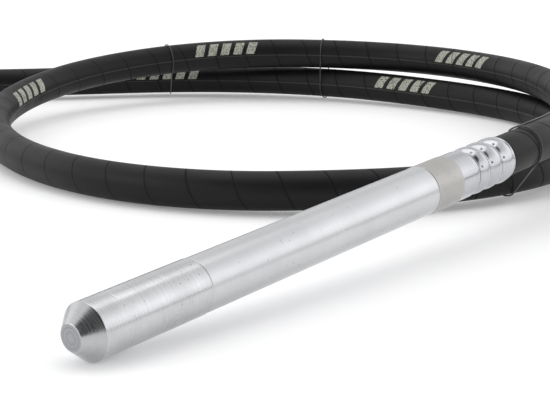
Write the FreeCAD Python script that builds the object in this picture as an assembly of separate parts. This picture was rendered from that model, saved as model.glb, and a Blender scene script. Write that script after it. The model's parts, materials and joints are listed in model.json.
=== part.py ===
import FreeCAD, Part
import math
import os

# Flexible-shaft concrete vibrator: a steel vibrating head with an eccentric rotor, a crimped
# ferrule, a rubber hose with its liner and flexible drive core lying in a coil and a half,
# and the motor-end coupling. Millimetres. The origin is on the floor under the middle of the
# head with its ferrule, +X runs from the nose to the hose, and +Z is up.

Vec = FreeCAD.Vector
AXIS = Vec(1, 0, 0)

# ---- driving dimensions -------------------------------------------------------------------
seat_gap = 0.02            # radial clearance of pieces that seat in or on each other
soft_gap = 0.3             # clearance between a seal or the core and what turns beside it
shelf = 0.0                # the floor

head_tilt = 4.9            # degrees that the head rises from its nose to its hose
tip_r = 8.0                # flat tip of the nose
cone_length = 10.8         # from the flat tip to the shoulder
nose_r = 17.8              # nose section, a little proud of the tube
shoulder_round = 1.2       # rounding where the cone meets the nose section
nose_length = 97.0         # from the tip to the seam
tube_r = 17.5              # body tube, which sets the bearings and the spigots inside it
tube_length = 230.5        # between the two seams
tube_wall = 2.5            # tube over a spigot
spigot_length = 20.0       # threaded spigots at both ends of the tube
spigot_wall = 2.0          # spigot over a bearing
band_step = 0.25           # rear adaptor's matte band, proud of the tube
band_length = 30.5

ferrule_length = 68.5
ferrule_wall = 2.05        # left at the bottom of a crimp groove
bead_height = 1.7          # crimp beads over the grooves
collar_height = 1.85       # smooth collar over the grooves
lip_depth = 4.5            # bore at the lip that takes the whole hose
lip_wall = 0.7

core_r = 5.0               # flexible drive core
core_play = 1.5            # room round the core in its liner
liner_wall = 2.8           # steel spiral liner
liner_gap = 0.2
hose_r = 15.5              # outer radius of the rubber hose
skive = 2.1                # rubber taken off where the ferrule squeezes the hose
barb_height = 0.5
flange_height = 1.5        # nipple's flange and thread over the hose's bore
sleeve_wall = 1.1          # crimped sleeve on the core's end
sleeve_room = 1.2          # round that sleeve in the nipple

bearing_bore_r = 5.0       # bearings: bore, width and balls
bearing_width = 8.0
ball_count = 7
ball_share = 0.2975        # a ball's radius, as a share of the height between bore and outside
race_share = 0.2           # each race's distance from the balls' circle, as such a share
race_gap = 0.06            # running clearance of a ball in its races and its pocket
cage_wall = 1.2
cage_edge = 0.42           # cage beside a ball

rotor_air = 1.6            # between the eccentric weight and the tube
weight_flat = 1.5          # the weight's flat lies this far below the axis
rotor_collar_r = 6.9
rotor_collar_length = 8.0
tail_r = 4.0               # threaded tail of the rotor
square = 6.3               # square shank on the ends of the core
square_gap = 0.05
shank_length = 12.5
socket_r = 8.0
socket_length = 28.0
socket_thread = 14.0
socket_room = 1.5          # round the turning socket

neck_wall = 2.2            # coupling body over its bearing
stop_height = 1.4          # stop collar over the neck
stop_room = 0.15           # between the stop collar and the nut
nut_wall = 2.25            # union nut beside its bore
tie_r = 1.0                # radius of the thin ties
tie_gap = 0.8              # between a tie and the rubber
tie_knee = 1.05            # radius of a tie's bends, in wire radii

# ---- sizes that follow ----------------------------------------------------------------------
spigot_r = tube_r - tube_wall
bearing_r = spigot_r - spigot_wall
seat_r = bearing_r + seat_gap
tube_bore_r = bearing_r + 1.0
rotor_r = tube_bore_r - rotor_air
band_r = tube_r + band_step
pitch_r = (bearing_bore_r + bearing_r) / 2     # circle of the balls' centres
ball_r = ball_share * (bearing_r - bearing_bore_r)
inner_race_r = pitch_r - race_share * (bearing_r - bearing_bore_r)
outer_race_r = pitch_r + race_share * (bearing_r - bearing_bore_r)
cage_width = 2 * (ball_r + cage_edge)
oil_seal_r = bearing_r - 2.0

liner_bore_r = core_r + core_play
liner_r = liner_bore_r + liner_wall
hose_bore_r = liner_r + liner_gap
skived_r = hose_r - skive
crimp_floor = skived_r + seat_gap
groove_r = skived_r + ferrule_wall
ferrule_r = groove_r + bead_height
collar_r = groove_r + collar_height
lip_r = hose_r + lip_wall
nipple_r = hose_bore_r + flange_height
sleeve_r = core_r + sleeve_wall
nipple_bore_r = sleeve_r + sleeve_room
socket_bore_r = socket_r + socket_room

neck_r = seat_r - seat_gap + neck_wall
stop_r = neck_r + stop_height
nut_bore_r = stop_r + stop_room
nut_flats = 2 * (nut_bore_r + nut_wall)
motor_axis_z = nut_flats / 2 + 3.6             # the nut's corners clear the floor

# Route of the hose's centre line after its exit run, chosen by hand, to the motor end.
exit_run = 54.0            # the hose's first run, in line with the head
upper, floor_z, over_tie, over_both = 48.0, 15.5, 18.6, 51.2
ROUTE = [
    (318, 16, 54.5), (388, 44, 50.5), (466, 82, upper), (545, 136, upper),
    (611, 206, upper), (652, 288, upper), (659, 374, 49.3), (628, 463, over_both),
    (570, 550, over_both), (486, 610, 47.0), (388, 636, 39.0), (292, 621, 29.5), (206, 568, 21.0),
    (146, 486, 16.5), (105, 390, floor_z), (94, 291, floor_z), (118, 197, 16.5),
    (172, 122, over_tie), (248, 67, over_tie), (336, 44, over_tie), (427, 59, 16.5),
    (516, 101, floor_z), (588, 165, floor_z), (630, 248, floor_z), (641, 343, 16.3),
    (629, 443, over_tie), (599, 538, over_tie), (544, 620, over_tie), (468, 686, over_tie),
    (384, 748, over_tie), (306, 820, 20.0), (262, 872, motor_axis_z), (228, 918, motor_axis_z),
]

# ---- derived places -----------------------------------------------------------------------
tilt = math.radians(head_tilt)
seam_1 = nose_length
seam_2 = seam_1 + tube_length
band_end = seam_2 + band_length
head_end = band_end + ferrule_length           # the ferrule's lip, measured from the tip


def head_bounds():
    """Lowest and outermost places of the tilted head, from its outline's rounded corner."""
    rise = math.atan2(nose_r - tip_r, cone_length)
    back = shoulder_round * math.tan(rise / 2)
    centre_s, centre_r = cone_length + back, nose_r - shoulder_round
    low = centre_s * math.sin(tilt) - centre_r * math.cos(tilt) - shoulder_round
    front = -tip_r * math.sin(tilt)
    back_end = head_end * math.cos(tilt) + lip_r * math.sin(tilt)
    return low, front, back_end


low, front, back_end = head_bounds()
tip_place = Vec(-(front + back_end) / 2, 0, shelf - low)
HEAD = FreeCAD.Placement(tip_place, FreeCAD.Rotation(Vec(0, 1, 0), -head_tilt))
along_head = HEAD.Rotation.multVec(AXIS)
TURNED = FreeCAD.Placement(Vec(head_end, 0, 0), FreeCAD.Rotation(Vec(0, 0, 1), 180))
HEAD_HOSE_END = HEAD.multiply(TURNED)          # hose-end pieces, measured from the lip inward

path_start = tip_place + along_head * (head_end - lip_depth + 0.5)
PATH = [path_start, path_start + along_head * exit_run] + [Vec(*p) for p in ROUTE]
motor_lip = PATH[-1]
motor_way = (PATH[-1] - PATH[-2]).normalize()
MOTOR = FreeCAD.Placement(motor_lip - motor_way * (lip_depth - 0.5),
                          FreeCAD.Rotation(AXIS, motor_way))

parts = {}


def turned(outline, place=FreeCAD.Placement()):
    """Solid of revolution about the X axis from (place along it, radius) corners."""
    corners = [Vec(s, 0, r) for s, r in outline]
    face = Part.Face(Part.makePolygon(corners + corners[:1]))
    solid = face.revolve(Vec(0, 0, 0), AXIS, 360)
    solid.Placement = place
    return solid


def ring(start, length, inner, outer):
    return turned([(start, inner), (start + length, inner),
                   (start + length, outer), (start, outer)])


def rod(start, length, radius):
    return Part.makeCylinder(radius, length, Vec(start, 0, 0), AXIS)


def torus(start, centre_radius, radius):
    return Part.makeTorus(centre_radius, radius, Vec(start, 0, 0), AXIS)


def placed(shape, place):
    moved = shape.copy()
    moved.Placement = place.multiply(moved.Placement)
    return moved


def add(name, shape, place=None):
    parts[name] = shape if place is None else placed(shape, place)


# ---- bearing --------------------------------------------------------------------------------
def bearing(prefix, start, place):
    """Deep-groove ball bearing: outer ring, inner ring, balls and cage."""
    middle = start + bearing_width / 2
    groove = torus(middle, pitch_r, ball_r + race_gap)
    outer = ring(start, bearing_width, outer_race_r, bearing_r - seat_gap).cut(groove)
    inner = ring(start, bearing_width, bearing_bore_r + seat_gap, inner_race_r).cut(groove)
    cage = ring(middle - cage_width / 2, cage_width, pitch_r - cage_wall / 2,
                pitch_r + cage_wall / 2)
    balls = []
    for k in range(ball_count):
        angle = 2 * math.pi * k / ball_count
        outward = Vec(0, math.cos(angle), math.sin(angle))
        balls.append(Part.makeSphere(ball_r, Vec(middle, 0, 0) + outward * pitch_r))
        pocket = Part.makeCylinder(ball_r + race_gap, outer_race_r, Vec(middle, 0, 0), outward)
        cage = cage.cut(pocket)
    add(prefix + "_outer_ring", outer, place)
    add(prefix + "_inner_ring", inner, place)
    add(prefix + "_cage", cage, place)
    add(prefix + "_balls", Part.makeCompound(balls), place)


# ---- hose end: ferrule, nipple and core tip, the same at both ends ------------------------------
flange_start = ferrule_length - 3.0
nipple_end = ferrule_length + 18.0
tip_start = ferrule_length + 6.0
sleeve_start = ferrule_length - 14.0


def crimp_ferrule():
    """Crimped ferrule: lip, three beads between grooves, smooth collar, inner flange."""
    u = ferrule_length
    outer = [(0, lip_r), (0.8, lip_r + 0.6), (3.0, ferrule_r), (10.0, ferrule_r),
             (12.6, groove_r + 0.5), (14.2, groove_r), (16.2, groove_r), (17.8, groove_r + 0.5),
             (19.6, ferrule_r), (26.6, ferrule_r), (28.6, groove_r + 0.5),
             (29.8, groove_r), (31.8, groove_r), (33.0, groove_r + 0.5), (34.8, ferrule_r),
             (40.6, ferrule_r), (42.2, groove_r + 0.5), (43.2, groove_r), (44.6, groove_r),
             (46.0, groove_r + 0.8), (48.4, collar_r), (u - 0.6, collar_r), (u, collar_r - 0.6)]
    bore = [(u, nipple_r + seat_gap), (flange_start, nipple_r + seat_gap),
            (flange_start, crimp_floor), (lip_depth, crimp_floor),
            (lip_depth, hose_r + seat_gap), (0, hose_r + seat_gap)]
    return turned(outer + bore)


def hose_nipple():
    """Barbed nipple: saw-tooth tail inside the hose, thread beyond the ferrule's flange."""
    tail_start = lip_depth + 7.0
    barb_r, root_r, pitch = hose_bore_r - seat_gap, hose_bore_r - barb_height, 6.0
    outline = [(tail_start, nipple_bore_r)]
    place = tail_start
    while place + pitch < flange_start:
        outline += [(place, root_r), (place + pitch, barb_r)]
        place += pitch
    outline += [(place, root_r), (flange_start, root_r), (flange_start, nipple_r - seat_gap),
                (nipple_end, nipple_r - seat_gap), (nipple_end, socket_r + 0.7),
                (tip_start - 2.5, socket_r + 0.7), (tip_start - 2.5, nipple_bore_r)]
    return turned(outline)


def core_tip():
    """Crimped sleeve on the core's end with a square shank for the socket."""
    shank = Part.makeBox(shank_length, square, square,
                         Vec(tip_start, -square / 2, -square / 2))
    sleeve = turned([(sleeve_start, 0), (sleeve_start, sleeve_r - 0.5),
                     (sleeve_start + 1.0, sleeve_r), (tip_start - 1.0, sleeve_r),
                     (tip_start, sleeve_r - 0.5), (tip_start, 0)])
    return sleeve.fuse(shank).removeSplitter()


def square_hole(start, length):
    side = square + 2 * square_gap
    return Part.makeBox(length, side, side, Vec(start, -side / 2, -side / 2))


# ---- head -----------------------------------------------------------------------------------
front_seat = nose_length + spigot_length - bearing_width - 3.0
washer_width = 1.6
rear_seat = seam_2 - spigot_length + 2.0


def nose_cap():
    """Solid nose with a flat tip, a cone, and a threaded spigot that holds the bearing."""
    end = nose_length + spigot_length
    shell = turned([(0, 0), (0, tip_r), (cone_length, nose_r), (nose_length, nose_r),
                    (nose_length, spigot_r - seat_gap), (end, spigot_r - seat_gap), (end, 0)])
    corner = [e for e in shell.Edges if abs(e.BoundBox.XMin - cone_length) < 0.01
              and abs(e.BoundBox.XMax - cone_length) < 0.01]
    shell = shell.makeFillet(shoulder_round, corner)
    seat = rod(front_seat - washer_width, end, seat_r)
    relief = rod(front_seat - 18.0, 30.0, bearing_r - 3.0)
    groove = ring(nose_length + 4.0, 2.4, spigot_r - 1.6, spigot_r + 1.0)
    return shell.cut(seat).cut(relief).cut(groove)


def wave_washer():
    """Preload spring ring behind the front bearing's outer ring."""
    flat = ring(front_seat - washer_width, washer_width, bearing_r - 2.1, bearing_r - 0.2)
    inside = bearing_r - 3.5
    for k in range(3):
        angle = math.radians(120 * k)
        dent = Part.makeCylinder(4.0, 6.0, Vec(front_seat - washer_width - 3.3, 0, 0),
                                 Vec(0, math.cos(angle), math.sin(angle)))
        dent = dent.translate(Vec(0, inside * math.cos(angle), inside * math.sin(angle)))
        flat = flat.cut(dent)
    return flat


def o_ring(start, groove_bottom):
    return torus(start, groove_bottom + 0.75, 0.72)


def head_tube():
    """Steel body tube with a wider bore for the spigots at its two ends."""
    bore = spigot_r + seat_gap
    a, b = seam_1 + spigot_length + 1.0, seam_2 - spigot_length - 1.0
    return turned([(seam_1, tube_r), (seam_2, tube_r), (seam_2, bore), (b, bore),
                   (b, tube_bore_r), (a, tube_bore_r), (a, bore), (seam_1, bore)])


weight_start = front_seat + bearing_width + rotor_collar_length
weight_end = rear_seat - rotor_collar_length
journal_r = bearing_bore_r
journal_end = rear_seat + bearing_width + 6.0
socket_start = head_end - (tip_start + socket_length)


def rotor():
    """Eccentric rotor: two journals, two collars and a half-round weight below the axis."""
    shaft = turned([(front_seat - 6.0, 0), (front_seat - 6.0, journal_r - 0.6),
                    (front_seat - 5.4, journal_r), (front_seat + bearing_width, journal_r),
                    (front_seat + bearing_width, rotor_collar_r),
                    (rear_seat, rotor_collar_r), (rear_seat, journal_r),
                    (journal_end, journal_r), (journal_end, tail_r),
                    (socket_start + socket_thread - 1.0, tail_r),
                    (socket_start + socket_thread - 1.0, 0)])
    weight = rod(weight_start, weight_end - weight_start, rotor_r)
    above = Part.makeBox(weight_end - weight_start, 4 * rotor_r, 4 * rotor_r,
                         Vec(weight_start, -2 * rotor_r, -weight_flat))
    clip_groove = ring(front_seat - 2.2, 1.2, journal_r - 0.5, journal_r + 1.0)
    return shaft.fuse(weight.cut(above)).removeSplitter().cut(clip_groove)


def circlip(start, width, inner, outer, opening):
    """Retaining ring with a gap between its ends."""
    whole = ring(start, width, inner, outer)
    return whole.cut(Part.makeBox(3 * width, opening, outer, Vec(start - width, -opening / 2, 0)))


def drive_socket():
    """Socket screwed on the rotor, with a square hole for the core's shank."""
    body = turned([(0, 0), (0, socket_r - 0.8), (0.8, socket_r),
                   (socket_length - 0.8, socket_r), (socket_length, socket_r - 0.8),
                   (socket_length, 0)])
    thread = rod(-1.0, socket_thread + 1.0, tail_r + seat_gap)
    return body.cut(thread).cut(square_hole(socket_thread, socket_length))


def rear_adaptor():
    """Matte rear band with a spigot for the rear bearing and a thread for the nipple."""
    spigot_start = seam_2 - spigot_length
    seal_end = rear_seat + bearing_width + 6.0
    nipple_seat = head_end - nipple_end
    outline = [(spigot_start, spigot_r - seat_gap), (seam_2, spigot_r - seat_gap),
               (seam_2, band_r), (band_end, band_r), (band_end, nipple_r),
               (nipple_seat - 0.5, nipple_r), (nipple_seat - 0.5, socket_bore_r),
               (seal_end, socket_bore_r), (seal_end, oil_seal_r + seat_gap),
               (rear_seat + bearing_width, oil_seal_r + seat_gap),
               (rear_seat + bearing_width, seat_r), (spigot_start, seat_r)]
    groove = ring(seam_2 - 6.4, 2.4, spigot_r - 1.6, spigot_r + 1.0)
    clip_groove = ring(rear_seat - 1.4, 1.2, seat_r - 1.0, seat_r + 0.7)
    return turned(outline).cut(groove).cut(clip_groove)


def shaft_seal(start, width, inner, outer):
    """Rubber seal with a lip that stands just clear of its shaft."""
    return turned([(start, outer), (start + width, outer), (start + width, inner + 1.2),
                   (start + width * 0.4, inner + 1.2), (start + width * 0.3, inner),
                   (start, inner + 0.8)])


add("nose_cap", nose_cap(), HEAD)
add("nose_o_ring", o_ring(nose_length + 5.2, spigot_r - 1.6), HEAD)
add("wave_washer", wave_washer(), HEAD)
bearing("front_bearing", front_seat, HEAD)
add("rotor_circlip", circlip(front_seat - 2.1, 1.0, journal_r - 0.45, journal_r + 1.6, 3.0), HEAD)
add("head_tube", head_tube(), HEAD)
add("eccentric_rotor", rotor(), HEAD)
bearing("rear_bearing", rear_seat, HEAD)
add("bearing_circlip", circlip(rear_seat - 1.3, 1.0, bearing_r - 1.8, bearing_r + 0.6, 4.0), HEAD)
add("oil_seal", shaft_seal(rear_seat + bearing_width, 5.0, journal_r + soft_gap, oil_seal_r), HEAD)
add("rear_adaptor", rear_adaptor(), HEAD)
add("adaptor_o_ring", o_ring(seam_2 - 5.2, spigot_r - 1.6), HEAD)
add("drive_socket", placed(drive_socket(), FreeCAD.Placement(Vec(socket_start, 0, 0),
                                                            FreeCAD.Rotation())), HEAD)
add("hose_ferrule", crimp_ferrule(), HEAD_HOSE_END)
add("hose_nipple", hose_nipple(), HEAD_HOSE_END)
add("core_tip", core_tip(), HEAD_HOSE_END)


# ---- hose, liner and core -------------------------------------------------------------------
def rounded_path(points):
    """Straight runs joined by tangent arcs as large as the two runs at a point allow."""
    edges, radii = [], []
    here = points[0]
    for before, point, after in zip(points, points[1:], points[2:]):
        arrive, leave = point - before, after - point
        half_turn = arrive.getAngle(leave) / 2
        radius = 0.45 * min(arrive.Length, leave.Length) / math.tan(half_turn)
        cut_back = radius * math.tan(half_turn)
        arrive.normalize()
        leave.normalize()
        first, last = point - arrive * cut_back, point + leave * cut_back
        inward = (leave - arrive).normalize()
        middle = point + inward * (radius / math.cos(half_turn) - radius)
        edges.append(Part.LineSegment(here, first).toShape())
        edges.append(Part.Arc(first, middle, last).toShape())
        radii.append(radius)
        here = last
    edges.append(Part.LineSegment(here, points[-1]).toShape())
    return edges, radii


def swept(edges, radius):
    path = Part.Wire(edges)
    start = edges[0].Vertexes[0].Point
    disc = Part.Face(Part.Wire(Part.makeCircle(radius, start, along_head)))
    return path.makePipe(disc), path.Length


def sheath(name, inner, outer, head_from, motor_from):
    """Tube swept along the route and straight on into both hose ends, to the given depths."""
    first = HEAD_HOSE_END.multVec(Vec(head_from, 0, 0))
    last = MOTOR.multVec(Vec(motor_from, 0, 0))
    edges = list(route_edges)
    if head_from > inset:
        edges = [Part.LineSegment(first, PATH[0]).toShape()] + edges
    if motor_from > inset:
        edges += [Part.LineSegment(PATH[-1], last).toShape()]
    tube, length = swept(edges, outer)
    if inner > 0:
        tube = tube.cut(swept(edges, inner)[0])
    tube = tube.Solids[0]
    section = math.pi * (outer ** 2 - inner ** 2)
    print("%s: length %.0f, volume ratio %.4f, valid %s"
          % (name, length, tube.Volume / (section * length), tube.isValid()))
    return tube


inset = lip_depth - 0.5
route_edges, radii = rounded_path(PATH)
wire = Part.Wire(route_edges)
print("route length %.0f, arc radii %s" % (wire.Length, [round(r) for r in radii]))
skived_end = flange_start - 0.5
hose = sheath("hose", hose_bore_r, hose_r, skived_end, skived_end)
for place in (HEAD_HOSE_END, MOTOR):
    skin = ring(inset, skived_end - inset + 1.0, skived_r, hose_r + 1.0)
    hose = hose.cut(placed(skin, place))
add("hose", hose.Solids[0])
nipple_tail = lip_depth + 6.5
add("hose_liner", sheath("liner", liner_bore_r, liner_r, nipple_tail, nipple_tail))
core_from = sleeve_start - 0.4
add("flexible_core", sheath("core", 0, core_r, core_from, core_from))

# ---- motor end ------------------------------------------------------------------------------
body_start = ferrule_length
spindle_seat = tip_start + socket_length + 1.0
body_r, neck_start = neck_r + 2.3, 96.0
stop_start, stop_width = 112.0, 4.0
front_r, pilot_start = stop_r - 1.6, 124.0
pilot_r, pilot_end, pilot_bore_r = 12.5, 150.0, 8.5
nut_start, nut_end, nut_lip = 107.0, 128.0, 4.6
turn_gap = 0.1             # running clearance of the nut on the neck
spindle_flats = 8.0


def coupling_body():
    """Turned body: neck for the nut, stop collar and a plain pilot for the drive unit."""
    seal_end = spindle_seat + bearing_width + 9.0
    stop_end = stop_start + stop_width
    outline = [(body_start, body_r - 0.6), (body_start + 0.6, body_r), (neck_start, body_r),
               (neck_start, neck_r), (stop_start, neck_r), (stop_start, stop_r),
               (stop_end, stop_r), (stop_end, front_r), (pilot_start, front_r),
               (pilot_start, pilot_r), (pilot_end - 1.0, pilot_r), (pilot_end, pilot_r - 1.0),
               (pilot_end, pilot_bore_r), (seal_end, pilot_bore_r), (seal_end, seat_r),
               (spindle_seat, seat_r), (spindle_seat, socket_bore_r),
               (nipple_end + 0.5, socket_bore_r), (nipple_end + 0.5, nipple_r),
               (body_start, nipple_r)]
    clip_groove = ring(spindle_seat + bearing_width + 0.2, 1.2, seat_r - 1.0, seat_r + 0.7)
    ball_groove = ring(pilot_start + 3.0, 3.0, pilot_r - 1.0, pilot_r + 1.0)
    return turned(outline).cut(clip_groove).cut(ball_groove)


def hexagon_bar(start, end, across):
    corner_r = across / math.sqrt(3)
    turns = [math.radians(60 * k) for k in range(7)]
    corners = [Vec(start, corner_r * math.cos(a), corner_r * math.sin(a)) for a in turns]
    return Part.Face(Part.makePolygon(corners)).extrude(Vec(end - start, 0, 0))


def union_nut():
    """Hexagon union nut that turns on the neck, held by the stop collar."""
    corner_r = nut_flats / math.sqrt(3)
    rounding = turned([(nut_start, 0), (nut_start, corner_r - 2.34),
                       (nut_start + 2.0, corner_r - 0.34), (nut_end - 2.0, corner_r - 0.34),
                       (nut_end, corner_r - 2.34), (nut_end, 0)])
    bore = turned([(nut_start - 1, 0), (nut_start - 1, neck_r + turn_gap),
                   (nut_start + nut_lip, neck_r + turn_gap), (nut_start + nut_lip, nut_bore_r),
                   (nut_end + 1, nut_bore_r), (nut_end + 1, 0)])
    return hexagon_bar(nut_start, nut_end, nut_flats).common(rounding).cut(bore)


def spindle():
    """Drive spindle: square socket for the core, bearing journal and a hexagon end."""
    journal = spindle_seat + bearing_width
    hex_start, hex_end = journal + 10.0, pilot_end - 6.0
    shaft = turned([(tip_start, 0), (tip_start, socket_r - 0.8), (tip_start + 0.8, socket_r),
                    (tip_start + socket_length, socket_r),
                    (tip_start + socket_length, inner_race_r - 0.5),
                    (spindle_seat, inner_race_r - 0.5), (spindle_seat, journal_r),
                    (hex_start, journal_r), (hex_start, 0)])
    hexagon = hexagon_bar(hex_start, hex_end, spindle_flats)
    clip_groove = ring(journal + 0.2, 1.2, journal_r - 0.5, journal_r + 1.0)
    whole = shaft.fuse(hexagon).removeSplitter().cut(clip_groove)
    return whole.cut(square_hole(tip_start - 1.0, shank_length + 2.5))


clip_start = spindle_seat + bearing_width + 0.3
add("motor_ferrule", crimp_ferrule(), MOTOR)
add("motor_nipple", hose_nipple(), MOTOR)
add("motor_core_tip", core_tip(), MOTOR)
add("coupling_body", coupling_body(), MOTOR)
add("union_nut", union_nut(), MOTOR)
add("drive_spindle", spindle(), MOTOR)
bearing("spindle_bearing", spindle_seat, MOTOR)
add("spindle_circlip", circlip(clip_start, 1.0, journal_r - 0.45, journal_r + 1.6, 3.0), MOTOR)
add("coupling_circlip", circlip(clip_start, 1.0, bearing_r - 1.8, bearing_r + 0.6, 4.0), MOTOR)
add("spindle_seal", shaft_seal(clip_start + 1.9, 6.0, journal_r + soft_gap, bearing_r), MOTOR)


# ---- ties -----------------------------------------------------------------------------------
TIE_STEP = Vec(4, 0, 0)


def on_route(guess):
    return Part.Vertex(Vec(*guess)).distToShape(wire)[1][0][1]


def run_at(point):
    return (on_route(point + TIE_STEP) - point).normalize()


def tie(upper_guess, lower_guess):
    """Thin wire: half a turn over one stretch of the hose, half a turn under the other, two
    straight strands between them and a small round knee at each corner."""
    upper_point, lower_point = on_route(upper_guess), on_route(lower_guess)
    reach = hose_r + tie_gap + tie_r
    corners, pieces = [], []
    for point, other in ((upper_point, lower_point), (lower_point, upper_point)):
        ahead, away = run_at(point), point - other
        away = (away - ahead * away.dot(ahead)).normalize()
        side = ahead.cross(away)
        corners += [point - side * reach, point + side * reach]
        disc = Part.Face(Part.Wire(Part.makeCircle(tie_r, corners[-2], away)))
        pieces.append(disc.revolve(point, ahead, 180))
    for start, end in ((corners[1], corners[2]), (corners[3], corners[0])):
        pieces.append(Part.makeCylinder(tie_r, (end - start).Length, start, end - start))
    pieces += [Part.makeSphere(tie_r * tie_knee, corner) for corner in corners]
    return pieces[0].multiFuse(pieces[1:])


add("tie_right", tie((250, 0, 56.4), (306, 53, over_tie)))
add("tie_middle", tie((612, 485, over_both), (616, 484, over_tie)))
add("tie_left", tie((490, 603, 47.0), (524, 636, over_tie)))

# ---- report and export ------------------------------------------------------------------------
os.makedirs("parts", exist_ok=True)
for name, shape in parts.items():
    shape.exportStep("parts/%s.step" % name)
    if not shape.isValid():
        print("NOT VALID", name)
print("tip place", tip_place, "lip", tip_place + along_head * head_end, len(parts), "nodes")
print("joint axis", along_head, "motor start", MOTOR.Base, "way", motor_way)
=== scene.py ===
import json
import math

import bmesh
import bpy
import numpy as np
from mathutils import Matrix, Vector


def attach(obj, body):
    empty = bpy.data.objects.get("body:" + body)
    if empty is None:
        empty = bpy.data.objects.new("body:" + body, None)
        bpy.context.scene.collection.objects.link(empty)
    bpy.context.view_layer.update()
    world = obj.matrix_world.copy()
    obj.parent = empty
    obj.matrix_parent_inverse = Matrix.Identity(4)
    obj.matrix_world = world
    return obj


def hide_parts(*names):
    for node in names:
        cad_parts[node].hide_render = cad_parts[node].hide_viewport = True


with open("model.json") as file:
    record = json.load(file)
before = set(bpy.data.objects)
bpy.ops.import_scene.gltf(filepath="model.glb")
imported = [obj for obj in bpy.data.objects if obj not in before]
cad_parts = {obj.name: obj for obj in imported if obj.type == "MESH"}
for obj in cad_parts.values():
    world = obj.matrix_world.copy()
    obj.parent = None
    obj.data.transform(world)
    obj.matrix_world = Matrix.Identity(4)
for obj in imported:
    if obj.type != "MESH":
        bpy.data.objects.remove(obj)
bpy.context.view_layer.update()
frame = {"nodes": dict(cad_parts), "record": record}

# ---- Studio --------------------------------------------------------------------------------
# A pale floor in a white room that is darker at its skirting and behind the camera, which gives
# the bare steel something to reflect. One wide soft box hangs overhead, one stands at the left.
camera = bpy.data.objects.new("camera", bpy.data.cameras.new("camera"))
camera.data.sensor_width = 36.0
camera.data.lens = 104.73
camera.data.clip_start = 0.01
camera.location = (-0.7768, -0.6243, 0.2796)
sight = Vector((0.7437, 0.6309, -0.2212))
camera.rotation_euler = sight.to_track_quat("-Z", "Y").to_euler()
bpy.context.scene.collection.objects.link(camera)
bpy.context.scene.camera = camera
bpy.context.scene.view_settings.view_transform = "Standard"

floor_mesh = bpy.data.meshes.new("floor")
reach, floor_z = 14.0, -0.0003
sides = ((-reach, -reach), (reach, -reach), (reach, reach), (-reach, reach))
floor_mesh.from_pydata([(x, y, floor_z) for x, y in sides], [], [(0, 1, 2, 3)])
studio_floor = bpy.data.objects.new("studio_floor", floor_mesh)
bpy.context.scene.collection.objects.link(studio_floor)
floor_paint = bpy.data.materials.new("floor_paint")
floor_paint.use_nodes = True
paint = floor_paint.node_tree.nodes["Principled BSDF"]
paint.inputs["Base Color"].default_value = (0.92, 0.92, 0.92, 1)
paint.inputs["Roughness"].default_value = 0.9
paint.inputs["Specular IOR Level"].default_value = 0.1
paint.inputs["Emission Color"].default_value = (1, 1, 1, 1)
paint.inputs["Emission Strength"].default_value = 0.17
floor_mesh.materials.append(floor_paint)

room = bpy.data.worlds.new("room")
room.use_nodes = True
bpy.context.scene.world = room
sky = room.node_tree
sky.nodes["Background"].inputs["Strength"].default_value = 1.15
way = sky.nodes.new("ShaderNodeTexCoord")
split = sky.nodes.new("ShaderNodeSeparateXYZ")
height = sky.nodes.new("ShaderNodeValToRGB")
ramp = height.color_ramp
ramp.elements[0].position, ramp.elements[0].color = 0.0, (0.10, 0.10, 0.10, 1)
ramp.elements[1].position, ramp.elements[1].color = 1.0, (0.85, 0.85, 0.87, 1)
for place, tone in ((0.035, 0.16), (0.08, 1.05), (0.40, 1.30), (0.64, 1.00), (0.80, 0.72)):
    ramp.elements.new(place).color = (tone, tone, 1.01 * tone, 1)
# three dark patches: behind the camera, high over the nose, and low beyond the head
shade = height.outputs[0]
for aim, rim, core, remains in (((-0.66, -0.66, 0.36), 0.90, 0.955, 0.03),
                                ((-0.44, -0.30, 0.85), 0.84, 0.91, 0.03),
                                ((0.74, 0.60, 0.30), 0.74, 0.93, 0.62)):
    toward = sky.nodes.new("ShaderNodeVectorMath")
    toward.operation = "DOT_PRODUCT"
    toward.inputs[1].default_value = aim
    dark = sky.nodes.new("ShaderNodeMapRange")
    dark.interpolation_type = "SMOOTHSTEP"
    for socket, value in (("From Min", rim), ("From Max", core), ("To Min", 1.0), ("To Max", remains)):
        dark.inputs[socket].default_value = value
    shaded = sky.nodes.new("ShaderNodeMix")
    shaded.data_type, shaded.blend_type = "RGBA", "MULTIPLY"
    shaded.inputs["Factor"].default_value = 1.0
    sky.links.new(way.outputs["Generated"], toward.inputs[0])
    sky.links.new(toward.outputs["Value"], dark.inputs["Value"])
    sky.links.new(shade, shaded.inputs["A"])
    sky.links.new(dark.outputs[0], shaded.inputs["B"])
    shade = shaded.outputs["Result"]
seen = sky.nodes.new("ShaderNodeLightPath")
white = sky.nodes.new("ShaderNodeMix")
white.data_type = "RGBA"
white.inputs["B"].default_value = (1.0, 1.0, 1.0, 1)
for source, target in ((way.outputs["Generated"], split.inputs[0]), (split.outputs["Z"], height.inputs[0]),
                       (shade, white.inputs["A"]),
                       (seen.outputs["Is Camera Ray"], white.inputs["Factor"]),
                       (white.outputs["Result"], sky.nodes["Background"].inputs["Color"])):
    sky.links.new(source, target)


def soft_box(name, place, aim, width, depth, power):
    """A rectangular area light at place that faces the point aim."""
    light = bpy.data.lights.new(name, "AREA")
    light.shape = "RECTANGLE"
    light.size, light.size_y, light.energy = width, depth, power
    lamp = bpy.data.objects.new(name, light)
    lamp.location = place
    lamp.rotation_euler = (Vector(aim) - Vector(place)).to_track_quat("-Z", "Y").to_euler()
    bpy.context.scene.collection.objects.link(lamp)


soft_box("overhead_box", (0.2, 0.6, 2.2), (0.3, 0.3, 0.0), 2.6, 2.0, 13)
soft_box("left_box", (-1.6, 1.1, 1.0), (0.1, 0.2, 0.0), 1.0, 0.8, 4)

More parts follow.
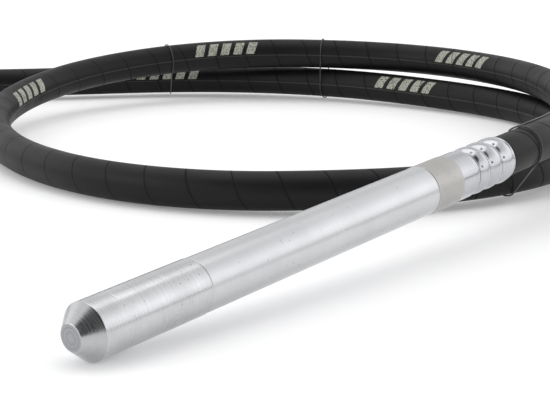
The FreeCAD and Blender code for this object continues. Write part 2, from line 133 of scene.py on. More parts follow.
# ---- Rubber hose ---------------------------------------------------------------------------
# A 31 mm hose of black rubber, wrapped in tape while it cures, which leaves a faint spiral and
# a fine seam line. It lies in a coil and a half and ends in a crimped ferrule at both ends.
MM = 0.001
hose_r, hose_bore_r, skived_r = 15.5 * MM, 9.5 * MM, 13.4 * MM
upper, on_floor, over_tie, over_both = 0.048, 0.0155, 0.0186, 0.0512
spindle_z = 0.0226
hose_route = [
    (0.20814, 0, 0.05287), (0.262, 0, 0.0575), (0.318, 0.016, 0.0545), (0.388, 0.044, 0.0505),
    (0.466, 0.082, upper), (0.545, 0.136, upper), (0.611, 0.206, upper), (0.652, 0.288, upper),
    (0.659, 0.374, 0.0493), (0.628, 0.463, over_both), (0.570, 0.550, over_both),
    (0.486, 0.610, 0.047), (0.388, 0.636, 0.039), (0.292, 0.621, 0.0295), (0.206, 0.568, 0.021),
    (0.146, 0.486, 0.0165), (0.105, 0.390, on_floor), (0.094, 0.291, on_floor),
    (0.118, 0.197, 0.0165), (0.172, 0.122, over_tie), (0.248, 0.067, over_tie),
    (0.336, 0.044, over_tie), (0.427, 0.059, 0.0165), (0.516, 0.101, on_floor),
    (0.588, 0.165, on_floor), (0.630, 0.248, on_floor), (0.641, 0.343, 0.0163),
    (0.629, 0.443, over_tie), (0.599, 0.538, over_tie), (0.544, 0.620, over_tie),
    (0.468, 0.686, over_tie), (0.384, 0.748, over_tie), (0.306, 0.820, 0.020),
    (0.262, 0.872, spindle_z), (0.228, 0.918, spindle_z),
]


def centre_line(points):
    """Points read along the smooth NURBS line that has the given points as its control points."""
    curve = bpy.data.curves.new("route", "CURVE")
    curve.dimensions = "3D"
    spline = curve.splines.new("NURBS")
    spline.points.add(len(points) - 1)
    spline.points.foreach_set("co", [x for p in points for x in (*p, 1.0)])
    spline.order_u = 3
    spline.use_endpoint_u = True
    spline.resolution_u = 16
    line = bpy.data.objects.new("route", curve)
    bpy.context.scene.collection.objects.link(line)
    bpy.context.view_layer.update()
    mesh = bpy.data.meshes.new_from_object(line)
    found = np.empty(len(mesh.vertices) * 3)
    mesh.vertices.foreach_get("co", found)
    bpy.data.objects.remove(line)
    bpy.data.meshes.remove(mesh)
    found = found.reshape(-1, 3)
    step = np.linalg.norm(np.diff(found, axis=0), axis=1)
    return found[np.r_[True, step > 1e-6]]


def skin(name, grid, uv, material, smooth=180.0):
    """Mesh over a grid of points [row, column]: each point joins the next in its row and in its
    column in a quad, and rows and columns close on themselves. The quads are turned outwards by
    the sign of the enclosed volume, points that meet are merged, and an edge is sharp where it
    turns by more than smooth degrees."""
    rows, columns = grid.shape[:2]
    index = np.arange(rows * columns).reshape(rows, columns)
    index = np.vstack([index, index[:1]])
    index = np.hstack([index, index[:, :1]])
    corner = [(slice(None, -1), slice(None, -1)), (slice(1, None), slice(None, -1)),
              (slice(1, None), slice(1, None)), (slice(None, -1), slice(1, None))]
    quads = np.stack([index[c] for c in corner], -1).reshape(-1, 4)
    places = np.stack([uv[c] for c in corner], -2).reshape(-1, 4, 2)
    flat = grid.reshape(-1, 3)
    a, b, c, d = (flat[quads[:, k]] for k in range(4))
    volume = np.einsum("ij,ij->", a, np.cross(b, c)) + np.einsum("ij,ij->", a, np.cross(c, d))
    if volume < 0:
        quads, places = quads[:, ::-1], places[:, ::-1]
    mesh = bpy.data.meshes.new(name)
    mesh.from_pydata(flat.tolist(), [], quads.tolist())
    layer = mesh.uv_layers.new(name="surface")
    layer.data.foreach_set("uv", places.reshape(-1))
    tidy = bmesh.new()
    tidy.from_mesh(mesh)
    bmesh.ops.remove_doubles(tidy, verts=tidy.verts, dist=2e-7)
    tidy.to_mesh(mesh)
    tidy.free()
    mesh.shade_smooth()
    mesh.set_sharp_from_angle(angle=math.radians(smooth))
    mesh.materials.append(material)
    piece = bpy.data.objects.new(name, mesh)
    bpy.context.scene.collection.objects.link(piece)
    return piece


def side_and_up(line):
    """At each point of a line, the unit directions across it: the level one and the upward one."""
    ahead = np.gradient(line, axis=0)
    ahead /= np.linalg.norm(ahead, axis=1)[:, None]
    side = np.cross(ahead, [0, 0, 1.0])
    side /= np.linalg.norm(side, axis=1)[:, None]
    return side, np.cross(side, ahead)


def tube(name, line, outline, columns, material):
    """A wall carried along a line: outline is a closed list of (row of the line, radius). At
    angle a from the bottom, point = centre - radius * (cos a * up + sin a * side)."""
    row = np.array([k for k, _ in outline])
    radius = np.array([r for _, r in outline])[:, None, None]
    side, up = side_and_up(line)
    far = np.r_[0, np.cumsum(np.linalg.norm(np.diff(line, axis=0), axis=1))]
    a = np.linspace(0, 2 * math.pi, columns, endpoint=False)[None, :, None]
    grid = line[row][:, None] - radius * (np.cos(a) * up[row][:, None] + np.sin(a) * side[row][:, None])
    around = np.linspace(0, 1, columns + 1)
    along = np.r_[far[row], far[row][0]]
    uv = np.stack(np.meshgrid(along, around, indexing="ij"), -1)
    return skin(name, grid, uv, material)


def shader(name, colour, metallic, roughness):
    """A new material with its Principled shader's plain values set; returns it and its nodes."""
    material = bpy.data.materials.new(name)
    material.use_nodes = True
    face = material.node_tree.nodes["Principled BSDF"]
    face.inputs["Base Color"].default_value = (*colour, 1)
    face.inputs["Metallic"].default_value = metallic
    face.inputs["Roughness"].default_value = roughness
    return material, material.node_tree, face


def node(tree, kind, **values):
    """A shader node with its inputs set by name, or by number as i0, i1. A socket given as a
    value is linked. Names starting with set_ are the node's own options."""
    made = tree.nodes.new("ShaderNode" + kind)
    for key, value in values.items():
        if key.startswith("set_"):
            setattr(made, key[4:], value)
    for key, value in values.items():
        if key.startswith("set_"):
            continue
        numbered = key[0] == "i" and key[1:].isdigit()
        socket = made.inputs[int(key[1:]) if numbered else key.replace("_", " ")]
        if isinstance(value, bpy.types.NodeSocket):
            tree.links.new(value, socket)
        else:
            socket.default_value = value
    return made


def maths(tree, operation, a, b=0.0):
    """Output of a Math node on two values or sockets."""
    return node(tree, "Math", set_operation=operation, i0=a, i1=b).outputs[0]


def mix(tree, factor, a, b):
    """The colour between a and b. Each is three numbers or a socket."""
    a, b = [(*colour, 1) if isinstance(colour, (tuple, list)) else colour for colour in (a, b)]
    return node(tree, "Mix", set_data_type="RGBA", Factor=factor, A=a, B=b).outputs["Result"]


def ease(tree, value, low, high, at_low, at_high):
    """A value that runs from at_low to at_high while the given one runs from low to high."""
    return node(tree, "MapRange", Value=value, From_Min=low, From_Max=high,
                To_Min=at_low, To_Max=at_high).outputs[0]


def surface_place(tree):
    """u and v of the piece's own UV map."""
    uv = node(tree, "UVMap", set_uv_map="surface").outputs[0]
    return node(tree, "SeparateXYZ", Vector=uv).outputs[:2]


def fine_grain():
    """Node group: dust and handling wear. Puts out a patchy mask, a fine speckle and a normal."""
    group = bpy.data.node_groups.new("fine_grain", "ShaderNodeTree")
    for name, kind, way in (("Patch Size", "Float", "INPUT"), ("Grain Size", "Float", "INPUT"),
                            ("Grain Depth", "Float", "INPUT"), ("Patches", "Float", "OUTPUT"),
                            ("Speckle", "Float", "OUTPUT"), ("Normal", "Vector", "OUTPUT")):
        group.interface.new_socket(name=name, in_out=way, socket_type="NodeSocket" + kind)
    come, go = group.nodes.new("NodeGroupInput"), group.nodes.new("NodeGroupOutput")
    place = node(group, "TexCoord").outputs["Object"]
    patches = node(group, "TexNoise", Vector=place, Scale=come.outputs["Patch Size"],
                   Detail=4.0, Roughness=0.6)
    grain = node(group, "TexNoise", Vector=place, Scale=come.outputs["Grain Size"],
                 Detail=3.0, Roughness=0.55)
    bump = node(group, "Bump", Height=grain.outputs[0], Strength=come.outputs["Grain Depth"],
                Distance=0.0002)
    group.links.new(patches.outputs[0], go.inputs["Patches"])
    group.links.new(grain.outputs[0], go.inputs["Speckle"])
    group.links.new(bump.outputs[0], go.inputs["Normal"])
    return group


grain_group = fine_grain()


def grain(tree, patch_size, grain_size, depth):
    """The grain group placed in a material with its own values."""
    made = tree.nodes.new("ShaderNodeGroup")
    made.node_tree = grain_group
    made.inputs["Patch Size"].default_value = patch_size
    made.inputs["Grain Size"].default_value = grain_size
    made.inputs["Grain Depth"].default_value = depth
    return made


def wrapped_rubber():
    """Black rubber. u is metres along the hose and v goes once round it from the bottom. Wrap
    edges lie where u / wrap_pitch - v is whole, the seam line where v = seam_v, and rows of
    plain slanted bars on its upper inner side."""
    wrap_pitch, seam_v = 0.036, 0.25
    material, tree, face = shader("hose_rubber", (0.01, 0.01, 0.01), 0.0, 0.5)
    face.inputs["Specular IOR Level"].default_value = 0.22
    u, v = surface_place(tree)
    wear = grain(tree, 22.0, 900.0, 0.25)
    wobble = maths(tree, "MULTIPLY", wear.outputs["Patches"], 0.12)
    turn = maths(tree, "ADD", maths(tree, "MULTIPLY", u, 1 / wrap_pitch), maths(tree, "SUBTRACT", wobble, v))
    phase = maths(tree, "FRACT", turn)
    edge = ease(tree, phase, 0.0, 0.06, 1.0, 0.0)
    step = ease(tree, phase, 0.03, 1.0, 0.0, 0.35)
    off_seam = maths(tree, "ABSOLUTE", maths(tree, "SUBTRACT", v, seam_v))
    seam = ease(tree, off_seam, 0.004, 0.009, 1.0, 0.0)
    cloth = node(tree, "CombineXYZ", X=turn, Y=v).outputs[0]
    weave = node(tree, "TexWave", set_wave_type="BANDS", set_bands_direction="X", Vector=cloth,
                 Scale=9.0, Distortion=0.4).outputs[0]
    wrap = maths(tree, "ADD", maths(tree, "MULTIPLY", edge, -1.0), step)
    lines = maths(tree, "ADD", maths(tree, "MULTIPLY", seam, 0.8), maths(tree, "MULTIPLY", weave, 0.04))
    bump = node(tree, "Bump", Height=maths(tree, "ADD", wrap, lines), Strength=0.55,
                Distance=0.0005, Normal=wear.outputs["Normal"])
    rubber = mix(tree, wear.outputs["Patches"], (0.003, 0.003, 0.0032), (0.0075, 0.0075, 0.008))
    dusty = mix(tree, maths(tree, "MULTIPLY", seam, 0.5), rubber, (0.055, 0.055, 0.055))
    # painted shade: in the groove at each wrap edge the colour darkens almost to black
    groove_shaded_rubber = mix(tree, maths(tree, "MULTIPLY", edge, 0.95), dusty, (0.0004, 0.0004, 0.0004))
    # five bars in each row; the rows past 1.7 m stand 0.114 m further on
    row_start, row_pitch, bar_pitch, bars, bar_share = 0.2855, 0.287, 0.015, 5.0, 0.66
    bar_v, half_bar_v, lean = 0.344, 0.075, 0.035
    start = maths(tree, "MULTIPLY", maths(tree, "GREATER_THAN", u, 1.7), 0.114)
    start = maths(tree, "ADD", row_start, start)
    over = maths(tree, "SUBTRACT", v, bar_v)
    along = maths(tree, "ADD", u, maths(tree, "MULTIPLY", over, lean))
    along = maths(tree, "MULTIPLY", maths(tree, "SUBTRACT", along, start), 1 / row_pitch)
    along = maths(tree, "MULTIPLY", maths(tree, "FRACT", along), row_pitch / bar_pitch)
    in_row = maths(tree, "LESS_THAN", along, bars)
    bar = maths(tree, "LESS_THAN", maths(tree, "FRACT", along), bar_share)
    high = maths(tree, "LESS_THAN", maths(tree, "ABSOLUTE", over), half_bar_v)
    worn = ease(tree, wear.outputs["Speckle"], 0.36, 0.5, 0.0, 1.0)
    ink = maths(tree, "MULTIPLY", in_row, bar)
    ink = maths(tree, "MULTIPLY", ink, maths(tree, "MULTIPLY", high, worn))
    # the bars fade in the wrap groove, so the painted groove shade shows through them too
    ink = maths(tree, "MULTIPLY", ink, maths(tree, "SUBTRACT", 1.0, maths(tree, "MULTIPLY", edge, 0.6)))
    sheen = ease(tree, wear.outputs["Patches"], 0.3, 0.7, 0.40, 0.54)
    rough = maths(tree, "ADD", sheen, maths(tree, "MULTIPLY", edge, 0.4))
    tree.links.new(mix(tree, ink, groove_shaded_rubber, (0.42, 0.43, 0.36)), face.inputs["Base Color"])
    tree.links.new(rough, face.inputs["Roughness"])
    tree.links.new(bump.outputs[0], face.inputs["Normal"])
    return material


head_tip = np.array([-212.8208, 0.0, 16.7773]) * MM
head_way = np.array([0.996345, 0.0, 0.085417])
head_length, lip_depth = 426.0 * MM, 4.5 * MM
ferrule_lip = head_tip + head_way * head_length

line = centre_line(hose_route)
motor_way = np.array(hose_route[-1]) - np.array(hose_route[-2])
motor_way /= np.linalg.norm(motor_way)
# at full width the hose stops this much short of the step inside a ferrule
seat = 0.5 * MM
motor_lip = line[-1] - motor_way * (lip_depth - seat)


def with_ends(line, depth):
    """The hose's line with straight runs added, a ring each 4 mm, that reach to a depth inside
    the ferrules measured from their lips. Also the number of rings added at each end."""
    run, ring_step = depth - lip_depth + seat, 0.004
    steps = np.r_[np.arange(ring_step, run, ring_step)[:, None], [[run]]]
    first = line[0] - head_way * steps[::-1]
    return np.vstack([first, line, line[-1] + motor_way * steps]), len(first)


hose_depth = 0.0280
whole, inside = with_ends(line, hose_depth)
count = len(whole)
first, last = inside, count - 1 - inside
outer = [(k, skived_r) for k in range(first + 1)] + [(k, hose_r) for k in range(first, last + 1)]
outer += [(k, skived_r) for k in range(last, count)]
hose = tube("rubber_hose", whole, outer + [(k, hose_bore_r) for k in range(count - 1, -1, -1)],
            48, wrapped_rubber())
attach(hose, "casing")
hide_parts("hose")

# ---- Liner and flexible core ---------------------------------------------------------------
# Inside the hose, a flat steel wire wound in a spiral is the conduit, and a shaft of wound
# wire layers turns in it. Both follow the hose from one ferrule to the other.


def wound_wire(name, colour, pitch, starts, roughness):
    """Steel wire wound in a spiral: ridges where u / pitch + starts * v is whole, with the colour painted
    darker towards the low part of each turn as shade between the turns.
    """
    material, tree, face = shader(name, colour, 1.0, roughness)
    u, v = surface_place(tree)
    wear = grain(tree, 60.0, 1500.0, 0.2)
    turn = maths(tree, "ADD", maths(tree, "MULTIPLY", u, 1 / pitch), maths(tree, "MULTIPLY", v, starts))
    ridge = maths(tree, "PINGPONG", turn, 0.5)
    bump = node(tree, "Bump", Height=ridge, Strength=0.8, Distance=pitch * 0.4,
                Normal=wear.outputs["Normal"])
    # painted shade: the colour falls to 35 % of the wire's own where the bump is lowest, between the turns
    tone = mix(tree, ridge, [0.35 * x for x in colour], colour)
    tree.links.new(tone, face.inputs["Base Color"])
    tree.links.new(bump.outputs[0], face.inputs["Normal"])
    return material


liner_depth, liner_r, liner_bore_r = 0.0110, 9.3 * MM, 6.5 * MM
conduit_line, _ = with_ends(line, liner_depth)
count = len(conduit_line)
conduit = tube("spiral_liner", conduit_line,
               [(k, liner_r) for k in range(count)] + [(k, liner_bore_r) for k in range(count - 1, -1, -1)],
               24, wound_wire("liner_wire", (0.42, 0.42, 0.43), 0.006, 1.0, 0.4))
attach(conduit, "casing")
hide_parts("hose_liner")

core_depth, core_r = 0.0541, 5.0 * MM
core_line, _ = with_ends(line, core_depth)
count = len(core_line)
shaft = tube("drive_core", core_line,
             [(0, 0.0)] + [(k, core_r) for k in range(count)] + [(count - 1, 0.0)],
             20, wound_wire("core_wire", (0.36, 0.36, 0.37), 0.012, 6.0, 0.35))
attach(shaft, "casing")
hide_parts("flexible_core")

# ---- Vibrating head ------------------------------------------------------------------------
# A nose piece, a body tube and a rear adaptor, turned from steel bar and screwed together. The
# first two are zinc plated over fine turning marks, and the band of the last is left matte.


def corners(outline, radius):
    """A closed outline with each corner cut by a short arc, and a supporting point on both sides
    of it, so that the shading turns only at the corner. Corner k stays between its neighbours."""
    points = np.array(outline, float)
    support = 1.6
    made = []
    for k in range(len(points)):
        here, before, after = points[k], points[k - 1], points[(k + 1) % len(points)]
        a, b = before - here, after - here
        la, lb = np.linalg.norm(a), np.linalg.norm(b)
        if here[1] <= 0 or la < 1e-9 or lb < 1e-9:
            made.append(here)
            continue
        cut = min(radius, 0.3 * la, 0.3 * lb)
        a, b = a / la, b / lb
        made.append(here + a * cut * support)
        for t in (0.0, 0.25, 0.5, 0.75, 1.0):
            made.append(here + a * cut * (1 - t) ** 2 + b * cut * t ** 2)
        made.append(here + b * cut * support)
    return np.array(made)


def turned(name, outline, start, way, material, columns, round_off=0.0, dent=None):
    """Surface of revolution about the line from start along way. outline is a closed list of
    (place along it, radius) in mm. dent(s, a, r) lowers the radius r by mm at place s and angle a."""
    points = corners(outline, round_off) if round_off else np.array(outline, float)
    s, r = points[:, 0, None], points[:, 1, None]
    a = np.linspace(0, 2 * math.pi, columns, endpoint=False)[None, :]
    radius = r - dent(s, a, r) if dent else r + 0 * a
    level = np.cross(way, [0, 0, 1.0])
    level /= np.linalg.norm(level)
    up = np.cross(level, way)
    grid = np.asarray(start) + MM * (s[..., None] * way + radius[..., None] * (
        np.cos(a)[..., None] * up + np.sin(a)[..., None] * level))
    travel = np.r_[0, np.cumsum(np.linalg.norm(np.diff(points, axis=0), axis=1))] * MM
    travel = np.r_[travel, travel[-1] + np.linalg.norm(points[0] - points[-1]) * MM]
    uv = np.stack(np.meshgrid(travel, np.linspace(0, 1, columns + 1), indexing="ij"), -1)
    return skin(name, grid, uv, material, smooth=40.0)


def turning_marks():
    """Node group: fine rings left by a lathe. u is metres along the outline. Puts out a ring
    mask, a broad uneven mask, scattered specks and a normal."""
    group = bpy.data.node_groups.new("turning_marks", "ShaderNodeTree")
    for name, kind, way in (("Rings Per Metre", "Float", "INPUT"), ("Depth", "Float", "INPUT"),
                            ("Rings", "Float", "OUTPUT"), ("Uneven", "Float", "OUTPUT"),
                            ("Specks", "Float", "OUTPUT"), ("Normal", "Vector", "OUTPUT")):
        group.interface.new_socket(name=name, in_out=way, socket_type="NodeSocket" + kind)
    come, go = group.nodes.new("NodeGroupInput"), group.nodes.new("NodeGroupOutput")
    u, _ = surface_place(group)
    place = node(group, "TexCoord").outputs["Object"]
    uneven = node(group, "TexNoise", Vector=place, Scale=26.0, Detail=5.0, Roughness=0.6)
    w = maths(group, "MULTIPLY", u, come.outputs["Rings Per Metre"])
    w = maths(group, "ADD", w, maths(group, "MULTIPLY", uneven.outputs[0], 0.35))
    rings = node(group, "TexNoise", set_noise_dimensions="1D", W=w, Scale=1.0, Detail=6.0,
                 Roughness=0.75)
    bump = node(group, "Bump", Height=rings.outputs[0], Strength=come.outputs["Depth"],
                Distance=0.0002)
    cells = node(group, "TexVoronoi", Vector=place, Scale=300.0)
    pit = ease(group, cells.outputs["Distance"], 0.07, 0.20, 1.0, 0.0)
    chance = node(group, "SeparateXYZ", Vector=cells.outputs["Color"]).outputs[0]
    specks = maths(group, "MULTIPLY", pit, maths(group, "GREATER_THAN", chance, 0.82))
    for value, name in ((specks, "Specks"), (rings.outputs[0], "Rings"),
                        (uneven.outputs[0], "Uneven"), (bump.outputs[0], "Normal")):
        group.links.new(value, go.inputs[name])
    return group


marks_group = turning_marks()


def turned_steel(name, dark, light, roughness, spread, rings, depth, stain, dull_tip=0.0):
    """Bare or plated steel with lathe rings: the ring mask moves colour and roughness. Within
    dull_tip metres of the start of the outline the metal is duller and its rings coarser. The
    cone behind it is painted a darker grey, a painted reflection standing in for the dark
    that the cone mirrors."""
    material, tree, face = shader(name, light, 1.0, roughness)
    made = tree.nodes.new("ShaderNodeGroup")
    made.node_tree = marks_group
    made.inputs["Rings Per Metre"].default_value = rings
    made.inputs["Depth"].default_value = depth
    ring_mask, uneven = made.outputs["Rings"], made.outputs["Uneven"]
    tone = mix(tree, ring_mask, dark, light)
    wear = ease(tree, uneven, 0.35, 0.65, 0.0, stain)
    tone = mix(tree, wear, tone, [0.6 * x for x in dark])
    rough = ease(tree, maths(tree, "MULTIPLY", ring_mask, uneven), 0.1, 0.4,
                 roughness - spread, roughness + spread)
    if dull_tip:
        cone_end = 0.0226
        u, _ = surface_place(tree)
        # painted reflection: the cone's colour is pulled 35 % towards dark grey to stand in for the dark
        # reflection it shows
        cone_painted_dark = maths(tree, "MULTIPLY", maths(tree, "LESS_THAN", u, cone_end), 0.35)
        tone = mix(tree, cone_painted_dark, tone, (0.24, 0.245, 0.25))
        on_tip = ease(tree, u, dull_tip * 0.96, dull_tip, 1.0, 0.0)
        coarse = node(tree, "TexNoise", set_noise_dimensions="1D",
                      W=maths(tree, "MULTIPLY", u, 900.0), Scale=1.0, Detail=2.0).outputs[0]
        tone = mix(tree, on_tip, tone, mix(tree, coarse, (0.17, 0.175, 0.18), (0.47, 0.48, 0.50)))
    tone = mix(tree, maths(tree, "MULTIPLY", made.outputs["Specks"], 0.5), tone, (0.10, 0.09, 0.08))
    tree.links.new(tone, face.inputs["Base Color"])
    tree.links.new(rough, face.inputs["Roughness"])
    tree.links.new(made.outputs["Normal"], face.inputs["Normal"])
    return material


plated = turned_steel("zinc_plated_steel", (0.55, 0.56, 0.57), (0.69, 0.70, 0.71),
                      roughness=0.31, spread=0.05, rings=1100.0, depth=0.05, stain=0.15)
nose_steel = turned_steel("nose_steel", (0.49, 0.50, 0.51), (0.73, 0.74, 0.75),
                          roughness=0.26, spread=0.06, rings=1000.0, depth=0.11, stain=0.3,
                          dull_tip=0.0081)
matte = turned_steel("matte_steel", (0.43, 0.42, 0.405), (0.56, 0.55, 0.53),
                     roughness=0.48, spread=0.05, rings=1800.0, depth=0.20, stain=0.2)
bright = turned_steel("bright_steel", (0.44, 0.45, 0.47), (0.62, 0.63, 0.65),
                      roughness=0.22, spread=0.05, rings=900.0, depth=0.06, stain=0.2)

# the nose: a flat tip, a plain cone and a cylinder with two faint tool rings, in mm
cone = [(0, 0), (0, 8.1), (0.05, 8.25), (0.2, 8.47), (0.5, 8.74), (10.6, 17.5)]
cone += [(10.8, 17.66), (11.0, 17.78), (11.2, 17.8), (11.5, 17.8)]
for ring in (28.3, 65.6):
    cone += [(ring - 0.3, 17.8), (ring, 17.8), (ring + 0.2, 17.76), (ring + 0.5, 17.76),
             (ring + 0.7, 17.8), (ring + 1.0, 17.8)]
cone += [(95.9, 17.8), (96.2, 17.8), (96.5, 17.79), (96.75, 17.6), (96.8, 17.45), (97.0, 17.2)]
nose = turned("nose_shell", cone + [(97.0, 14.98), (117.0, 14.98), (117.0, 13.02), (104.4, 13.02),
                                    (104.4, 10.0), (88.0, 10.0), (88.0, 0)],
              head_tip, head_way, nose_steel, columns=128)
body = turned("body_tube", [(97.0, 17.25), (97.3, 17.5), (327.2, 17.5), (327.5, 17.25), (327.5, 15.02),
                            (306.5, 15.02), (306.5, 14.0), (118.0, 14.0), (118.0, 15.02), (97.0, 15.02)],
              head_tip, head_way, plated, columns=128, round_off=0.25)
adaptor = turned("matte_band", [(307.5, 14.98), (327.5, 14.98), (327.5, 17.4), (327.9, 17.75),
                                (357.5, 17.75), (358.0, 17.3), (358.0, 11.0), (339.0, 11.0),
                                (339.0, 9.5), (323.5, 9.5), (323.5, 11.02), (317.5, 11.02),
                                (317.5, 13.02), (307.5, 13.02)],
                 head_tip, head_way, matte, columns=128, round_off=0.25)
for piece, cad in ((nose, "nose_cap"), (body, "head_tube"), (adaptor, "rear_adaptor")):
    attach(piece, "casing")
    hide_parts(cad)

# ---- Crimped ferrules ----------------------------------------------------------------------
# A steel sleeve over each end of the hose, squeezed by eight jaws in three grooves. The jaws
# leave small notches between them at the edges of the grooves.


def jaw_notches(s, a, r):
    """Depth in mm: eight short notches 45 degrees apart, each deepest at a groove's edge and
    falling off as a bell curve round the ferrule and along it. The bore has none."""
    jaws, deepest, bore_limit = 8, 0.75, 14.2
    notch = np.exp(-((((a * jaws / (2 * math.pi)) % 1.0) - 0.5) / 0.10) ** 2)
    edges = (13.2, 17.0, 28.8, 32.6, 42.2, 46.0)
    edge = sum(np.exp(-((s - place) / 0.55) ** 2) for place in edges)
    return deepest * notch * edge * (r > bore_limit)


def swell(a, b, low, high):
    """A round bead from place a to b: its radius rises from low to high along half an oval."""
    x = np.cos(np.linspace(math.pi, 0, 21))
    return list(zip((a + b) / 2 + (b - a) / 2 * x, low + (high - low) * (1 - x * x) ** 0.95))


def ferrule(name, start, way):
    """Lip, three beads between grooves and a smooth collar, with a bore for the hose."""
    groove, bead, collar = 15.2, 17.45, 17.3
    outside = [(0, 16.0), (0.2, 16.4), (0.6, 16.6), (1.2, 16.65), (1.8, 16.5), (2.2, 16.2)]
    outside += [p for p in swell(-0.4, 14.6, groove, bead) if 2.4 < p[0]]
    outside += swell(15.6, 30.2, groove, bead) + swell(31.2, 43.6, groove, bead)
    outside += [p for p in swell(44.6, 57.4, groove, collar) if p[0] < 50.8]
    outside += [(51.0, collar), (52.0, collar), (67.2, collar), (67.6, collar), (68.1, 17.2), (68.5, 16.8)]
    inside = [(68.5, 11.02), (65.5, 11.02), (65.5, 13.42), (4.5, 13.42), (4.5, 15.52), (0, 15.52)]
    return turned(name, outside + inside, start, way, bright, columns=192, dent=jaw_notches)


front_ferrule = ferrule("front_ferrule", ferrule_lip, -head_way)
far_ferrule = ferrule("far_ferrule", motor_lip, motor_way)
for piece, cad in ((front_ferrule, "hose_ferrule"), (far_ferrule, "motor_ferrule")):
    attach(piece, "casing")
    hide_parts(cad)

# ---- Motor-end coupling --------------------------------------------------------------------
# A turned body with a plain pilot for the drive unit, and a hexagon union nut that turns
# freely on its neck. The drive spindle stands inside the pilot.
coupling = turned("coupling_housing",
                  [(68.5, 16.9), (69.1, 17.5), (95.6, 17.5), (96.0, 17.1), (96.0, 15.2), (112.0, 15.2),
                   (112.0, 16.6), (116.0, 16.6), (116.0, 15.0), (124.0, 15.0), (124.0, 12.5),
                   (127.0, 12.5), (127.0, 11.5), (130.0, 11.5), (130.0, 12.5), (149.0, 12.5),
                   (150.0, 11.5), (150.0, 8.5), (120.5, 8.5), (120.5, 13.02), (103.5, 13.02),
                   (103.5, 9.5), (87.0, 9.5), (87.0, 11.0), (68.5, 11.0)],
                  motor_lip, motor_way, plated, columns=96, round_off=0.25)
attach(coupling, "casing")
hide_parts("coupling_body")


def hexagon_nut(name, start, way, material):
    """Hexagon over a round bore: the radius at angle a is half_across / cos(a folded into 60
    degrees), but never more than limit, the chamfer of its two ends, allows at that place."""
    s = np.array([107.0, 107.0, 107.3, 108.0, 109.0, 117.5, 126.0, 127.0, 127.7, 128.0, 128.0,
                  128.0, 111.6, 111.6, 107.0])
    limit = np.array([17.6, 19.6, 20.0, 20.8, 21.6, 21.75, 21.6, 20.8, 20.0, 19.6, 17.6,
                      16.75, 16.75, 15.3, 15.3])
    columns, half_across = 144, 19.0
    a = np.linspace(0, 2 * math.pi, columns, endpoint=False)
    fold = (a + math.pi / 6) % (math.pi / 3) - math.pi / 6
    flat = half_across / np.cos(fold)
    radius = np.minimum(flat[None, :], limit[:, None])
    level = np.cross(way, [0, 0, 1.0])
    up = np.cross(level, way)
    grid = np.asarray(start) + MM * (s[:, None, None] * way + radius[..., None] * (
        np.sin(a)[None, :, None] * up + np.cos(a)[None, :, None] * level))
    along = np.r_[0, np.cumsum(np.hypot(np.diff(s), np.diff(limit)))] * MM
    along = np.r_[along, along[-1] + 2.3 * MM]
    uv = np.stack(np.meshgrid(along, np.linspace(0, 1, columns + 1), indexing="ij"), -1)
    return skin(name, grid, uv, material, smooth=25.0)


nut = hexagon_nut("hexagon_nut", motor_lip, motor_way, plated)
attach(nut, "nut")
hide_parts("union_nut")

# ---- Wire ties -----------------------------------------------------------------------------
# Thin dark wire with a plastic cover, passed round two turns of the hose and pulled tight. It
# holds the coil together for carriage. The free end of one lies along the hose.
tie_r, tie_gap = 0.65 * MM, 0.4 * MM
tie_cover, tree, face = shader("tie_cover", (0.03, 0.03, 0.03), 0.0, 0.32)
wear = grain(tree, 140.0, 2200.0, 0.3)
tone = mix(tree, wear.outputs["Patches"], (0.012, 0.012, 0.013), (0.05, 0.05, 0.052))
tree.links.new(tone, face.inputs["Base Color"])
tree.links.new(wear.outputs["Normal"], face.inputs["Normal"])


def nearest(point):
    """Row of the hose's line that is nearest to a point."""
    return int(np.argmin(np.linalg.norm(line - np.array(point), axis=1)))


def half_turn(row, other):
    """Half a circle round the hose, on the side away from the other stretch: at angle a,
    centre + reach * (cos a * away + sin a * across)."""
    ahead, away = line[row + 1] - line[row - 1], line[row] - line[other]
    ahead /= np.linalg.norm(ahead)
    away = away - ahead * (away @ ahead)
    away /= np.linalg.norm(away)
    a = np.radians(np.arange(-90, 91, 7.5))[:, None]
    return line[row] + (hose_r + tie_gap + tie_r) * (np.cos(a) * away + np.sin(a) * np.cross(ahead, away))


def loop_round(upper_row, lower_row):
    """Half a turn over one stretch, half a turn under the other and two strands between."""
    over, under = half_turn(upper_row, lower_row), half_turn(lower_row, upper_row)
    part = np.linspace(0, 1, 12)[1:-1, None]
    return np.vstack([over, over[-1] + (under[0] - over[-1]) * part,
                      under, under[-1] + (over[0] - under[-1]) * part])


def wire_ring(name, loop):
    """The wire along a closed loop: at angle a, centre + tie_r * (cos a * out + sin a * across)."""
    columns, wire_length = 12, 0.2
    ahead = np.roll(loop, -1, 0) - np.roll(loop, 1, 0)
    ahead /= np.linalg.norm(ahead, axis=1)[:, None]
    start, middle, beyond = loop[[0, 12, 36]]
    across = np.cross(middle - start, beyond - start)
    across = across - ahead * (ahead @ across)[:, None]
    across /= np.linalg.norm(across, axis=1)[:, None]
    out = np.cross(ahead, across)
    a = np.linspace(0, 2 * math.pi, columns, endpoint=False)[None, :, None]
    grid = loop[:, None] + tie_r * (np.cos(a) * out[:, None] + np.sin(a) * across[:, None])
    along = np.linspace(0, wire_length, len(loop) + 1)
    uv = np.stack(np.meshgrid(along, np.linspace(0, 1, columns + 1), indexing="ij"), -1)
    return skin(name, grid, uv, tie_cover)


ties = []
places = (("right_wire", "tie_right", (0.250, 0, 0.0564), (0.306, 0.053, over_tie)),
          ("middle_wire", "tie_middle", (0.612, 0.485, over_both), (0.616, 0.484, over_tie)),
          ("left_wire", "tie_left", (0.490, 0.603, 0.047), (0.524, 0.636, over_tie)))
for name, cad, over, under in places:
    made = wire_ring(name, loop_round(nearest(over), nearest(under)))
    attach(made, "casing")
    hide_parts(cad)
    ties.append(made)


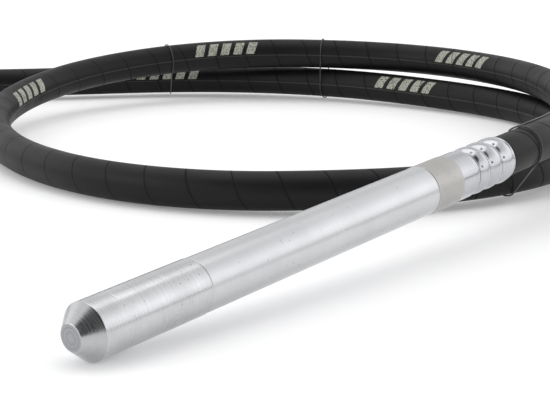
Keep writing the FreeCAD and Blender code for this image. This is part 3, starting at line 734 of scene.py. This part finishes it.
def loose_end(name, start_row, end_row, angle):
    """The wire's free end: it leaves the ring and lies along the hose, just above the rubber, at
    the given angle from its top."""
    finer, waver, waves = 4, 0.02, 5
    rows = np.arange(start_row, end_row)
    side, up = side_and_up(line)
    t = np.linspace(0, 1, len(rows) * finer)
    row = np.interp(t, np.linspace(0, 1, len(rows)), rows)
    count = np.arange(len(line))
    point, sideways, upwards = (
        np.stack([np.interp(row, count, values[:, k]) for k in range(3)], -1)
        for values in (line, side, up))
    lean = math.radians(angle) + waver * np.sin(waves * t)[:, None]
    path = point + (hose_r + tie_gap + tie_r) * (np.cos(lean) * upwards + np.sin(lean) * sideways)
    outline = [(0, 0.0)] + [(k, tie_r) for k in range(len(path))] + [(len(path) - 1, 0.0)]
    return tube(name, path, outline, 12, tie_cover)


wire_end = loose_end("right_wire_end", nearest((0.250, 0, 0.0564)), nearest((0.345, 0.026, 0.053)),
                     -19.0)
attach(wire_end, "casing")
ties.append(wire_end)

# ---- Inner parts ---------------------------------------------------------------------------
# The bearings, the eccentric rotor, seals, clips, nipples and sockets keep their own shapes.
# Each gets the finish of its steel, brass or rubber.


def plain_metal(name, dark, light, roughness, metallic=1.0):
    """Metal or rubber whose patches move its colour and roughness, with a fine grain."""
    material, tree, face = shader(name, light, metallic, roughness)
    wear, spread = grain(tree, 45.0, 900.0, 0.15), 0.06
    rough = ease(tree, wear.outputs["Speckle"], 0.3, 0.7, roughness - spread, roughness + spread)
    tree.links.new(mix(tree, wear.outputs["Patches"], dark, light), face.inputs["Base Color"])
    tree.links.new(rough, face.inputs["Roughness"])
    tree.links.new(wear.outputs["Normal"], face.inputs["Normal"])
    return material


finishes = {
    "bearing_steel": plain_metal("bearing_steel", (0.55, 0.56, 0.58), (0.72, 0.73, 0.75), 0.16),
    "dark_steel": plain_metal("dark_steel", (0.09, 0.09, 0.10), (0.17, 0.17, 0.18), 0.42),
    "spring_steel": plain_metal("spring_steel", (0.24, 0.24, 0.25), (0.40, 0.40, 0.42), 0.34),
    "brass_cage": plain_metal("brass_cage", (0.50, 0.36, 0.15), (0.76, 0.58, 0.28), 0.30),
    "seal_rubber": plain_metal("seal_rubber", (0.015, 0.015, 0.015), (0.05, 0.05, 0.05), 0.55,
                               metallic=0.0),
}
slots = {part["node"]: part["material_slot"] for part in frame["record"]["subparts"]}
for name, part in frame["nodes"].items():
    if slots[name] in finishes:
        part.data.materials.clear()
        part.data.materials.append(finishes[slots[name]])

# ---- What the hose carries -----------------------------------------------------------------
# It leaves the head at the ferrule's lip and ends in its coupling. Everything that it carries
# is listed with it.
on_hose = [conduit, shaft, far_ferrule, coupling, nut, *ties]
on_hose += [frame["nodes"][n] for n in (
    "motor_nipple", "motor_core_tip", "drive_spindle", "spindle_bearing_outer_ring",
    "spindle_bearing_inner_ring", "spindle_bearing_cage", "spindle_bearing_balls",
    "spindle_circlip", "coupling_circlip", "spindle_seal")]
